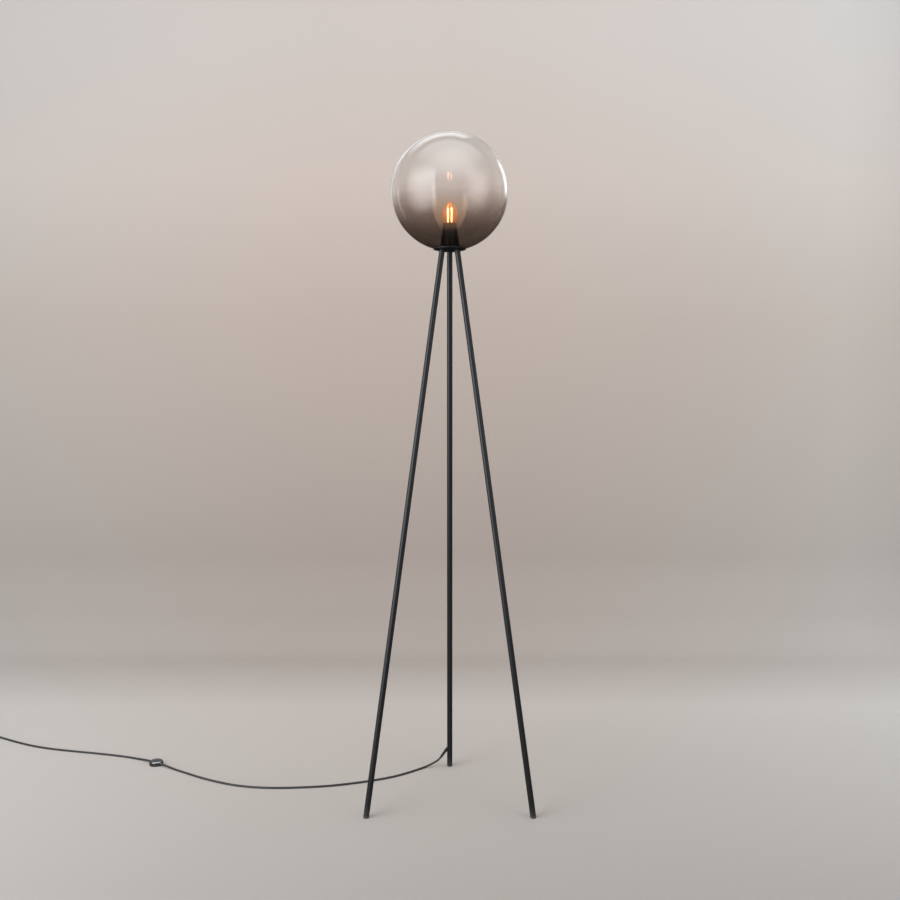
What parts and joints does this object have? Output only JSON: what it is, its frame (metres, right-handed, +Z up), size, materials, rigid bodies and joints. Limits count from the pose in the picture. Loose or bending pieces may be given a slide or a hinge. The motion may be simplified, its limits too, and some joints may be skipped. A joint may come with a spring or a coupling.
{
  "type": "floor lamp",
  "caption": "Globe floor lamp: a smoked glass globe in a small black dish on slim straight steel legs, with a candle bulb, a mains cord and a foot switch.",
  "frame": {"origin": "on the floor, straight under the centre of the globe", "axes": "+Z up; +Y towards the rear leg, where the cord leaves; +X to the right as seen from the front; the cord runs over the floor towards -X"},
  "size_m": [1.4427, 0.6447, 1.416],
  "materials": {
    "smoked_glass": "clear at the top, smoked dark brown towards the bottom, polished",
    "black_steel": "fine satin powder coat",
    "grey_steel": "satin powder coat, dark grey",
    "cone_steel": "matt black",
    "plated_steel": "zinc plated",
    "felt": "thin black felt",
    "foot_rubber": "matt",
    "bush_rubber": "matt",
    "holder_plastic": "moulded heat-proof plastic",
    "brass": "plain",
    "nickel": "nickel plated",
    "amber_glass": "amber tinted, clear",
    "clear_glass": "clear",
    "bulb_insulator": "dark glazed",
    "circuit_board": "plain",
    "filament": "yellow phosphor silicone",
    "anchor_plastic": "natural nylon",
    "live_core": "brown",
    "neutral_core": "blue",
    "cord_sheath": "satin",
    "switch_plastic": "glossy",
    "button_plastic": "glossy",
    "spring_steel": "drawn wire",
    "plug_plastic": "satin"
  },
  "bodies": {
    "stand": {"centre_contact": "brass", "cord_anchor": "anchor_plastic", "cord_bush": "bush_rubber", "cord_coil": "cord_sheath", "cord_in_lamp": "cord_sheath", "cord_nipple": "plated_steel", "cord_tail": "cord_sheath", "cord_to_coil": "cord_sheath", "cord_to_switch": "cord_sheath", "dish": "black_steel", "foot_cap_left": "foot_rubber", "foot_cap_rear": "foot_rubber", "foot_cap_right": "foot_rubber", "holder_body": "holder_plastic", "holder_cone": "cone_steel", "holder_post": "plated_steel", "holder_ring": "holder_plastic", "holder_shell": "brass", "holder_terminals": "brass", "lead_live": "live_core", "lead_neutral": "neutral_core", "leg_left": "grey_steel", "leg_rear": "grey_steel", "leg_right": "grey_steel", "leg_studs": "plated_steel", "leg_washers": "black_steel", "mounting_plate": "plated_steel", "plug_body": "plug_plastic", "plug_pins": "nickel", "plug_relief": "plug_plastic", "plug_sleeves": "switch_plastic", "post_nut": "plated_steel", "post_washer": "plated_steel", "seat_ring": "felt", "side_contact": "brass", "socket_left": "black_steel", "socket_rear": "black_steel", "socket_right": "black_steel", "switch_base": "switch_plastic", "switch_cord_ends": "cord_sheath", "switch_cores": "live_core", "switch_cover": "switch_plastic", "switch_screws": "plated_steel", "switch_sleeves": "bush_rubber", "switch_spring": "spring_steel", "switch_terminals": "brass", "terminal_screws": "plated_steel"},
    "globe": {"globe_glass": "smoked_glass"},
    "bulb": {"bulb_cap": "nickel", "bulb_contact": "nickel", "bulb_driver": "circuit_board", "bulb_filaments": "filament", "bulb_glass": "amber_glass", "bulb_insulator": "bulb_insulator", "bulb_stem": "clear_glass", "bulb_wires": "nickel"},
    "button": {"switch_button": "button_plastic", "switch_bridge": "brass"}
  },
  "joints": [
    {"name": "globe_lift", "type": "slide", "parent": "stand", "child": "globe", "axis": [0, 0, 1], "range_m": [0, 0.12]},
    {"name": "bulb_lift", "type": "slide", "parent": "stand", "child": "bulb", "axis": [0, 0, 1], "range_m": [0, 0.03]},
    {"name": "switch_press", "type": "slide", "parent": "stand", "child": "button", "axis": [0, 0, -1], "range_m": [0, 0.0022], "stiffness_N_per_m": 800, "springref_m": -0.002, "deforming": ["switch_spring"]}
  ]
}
